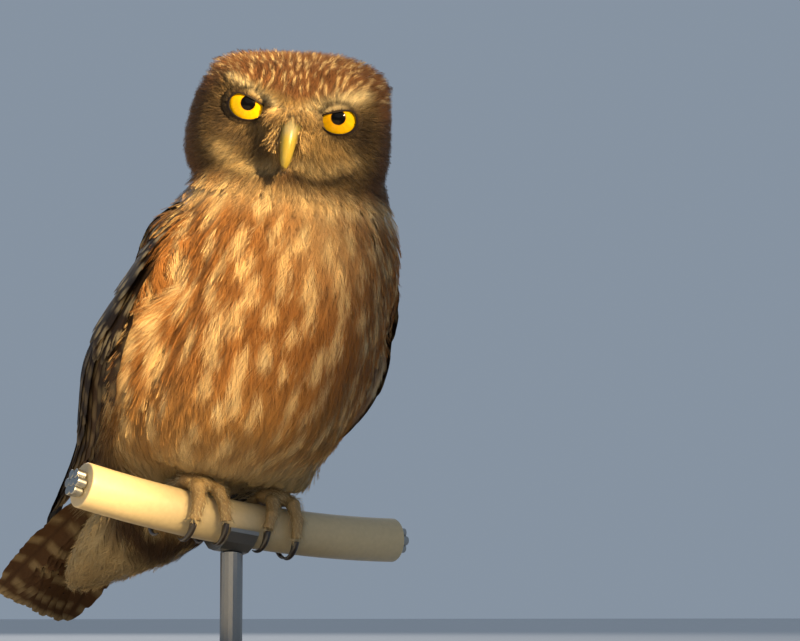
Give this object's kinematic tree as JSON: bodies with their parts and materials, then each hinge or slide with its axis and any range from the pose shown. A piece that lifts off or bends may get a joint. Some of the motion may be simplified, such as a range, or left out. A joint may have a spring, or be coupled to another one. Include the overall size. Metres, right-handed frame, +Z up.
{
  "type": "little owl on a perch",
  "caption": "Life-size little owl perched upright on a short piece of round cable, head turned over its shoulder, wings folded and tail hanging, held by a plain oval stand.",
  "frame": {"origin": "centre of the stand base's underside, on the floor", "axes": "+Z up, -Y the way the bird's body faces, +X the bird's left"},
  "size_m": [0.1198, 0.168, 0.1907],
  "materials": {
    "head_feathers": "soft brown feathers with fine pale spots",
    "breast_feathers": "soft rufous feathers with pale streaks",
    "wing_feathers": "dark brown feathers with pale spots",
    "tail_feathers": "brown feathers with faint pale bars",
    "pale_feathers": "soft pale buff down",
    "bill": "smooth greenish yellow horn",
    "eye": "wet, clear, yellow iris",
    "eyelid": "bare dark skin",
    "toe": "pale skin under fine bristles",
    "claw": "smooth dark horn",
    "sheath": "smooth cream plastic sheath",
    "strand": "bare twisted strands",
    "stand_wood": "plain flat base, satin",
    "stand_steel": "plain satin steel"
  },
  "bodies": {
    "root": {"head": "head_feathers", "neck": "breast_feathers", "torso": "breast_feathers", "undertail": "pale_feathers", "tail": "tail_feathers", "bill_upper": "bill", "bill_lower": "bill", "eye_left": "eye", "eyelid_left": "eyelid", "wing_left": "wing_feathers", "thigh_left": "pale_feathers", "shank_left": "pale_feathers", "foot_left": "toe", "toe_left_1": "toe", "claw_left_1": "claw", "toe_left_2": "toe", "claw_left_2": "claw", "toe_left_3": "toe", "claw_left_3": "claw", "toe_left_4": "toe", "claw_left_4": "claw", "eye_right": "eye", "eyelid_right": "eyelid", "wing_right": "wing_feathers", "thigh_right": "pale_feathers", "shank_right": "pale_feathers", "foot_right": "toe", "toe_right_1": "toe", "claw_right_1": "claw", "toe_right_2": "toe", "claw_right_2": "claw", "toe_right_3": "toe", "claw_right_3": "claw", "toe_right_4": "toe", "claw_right_4": "claw", "perch_cable": "sheath", "perch_strands_left": "strand", "perch_strands_right": "strand", "stand_base": "stand_wood", "stand_rod": "stand_steel", "stand_cradle": "stand_steel"}
  },
  "joints": []
}
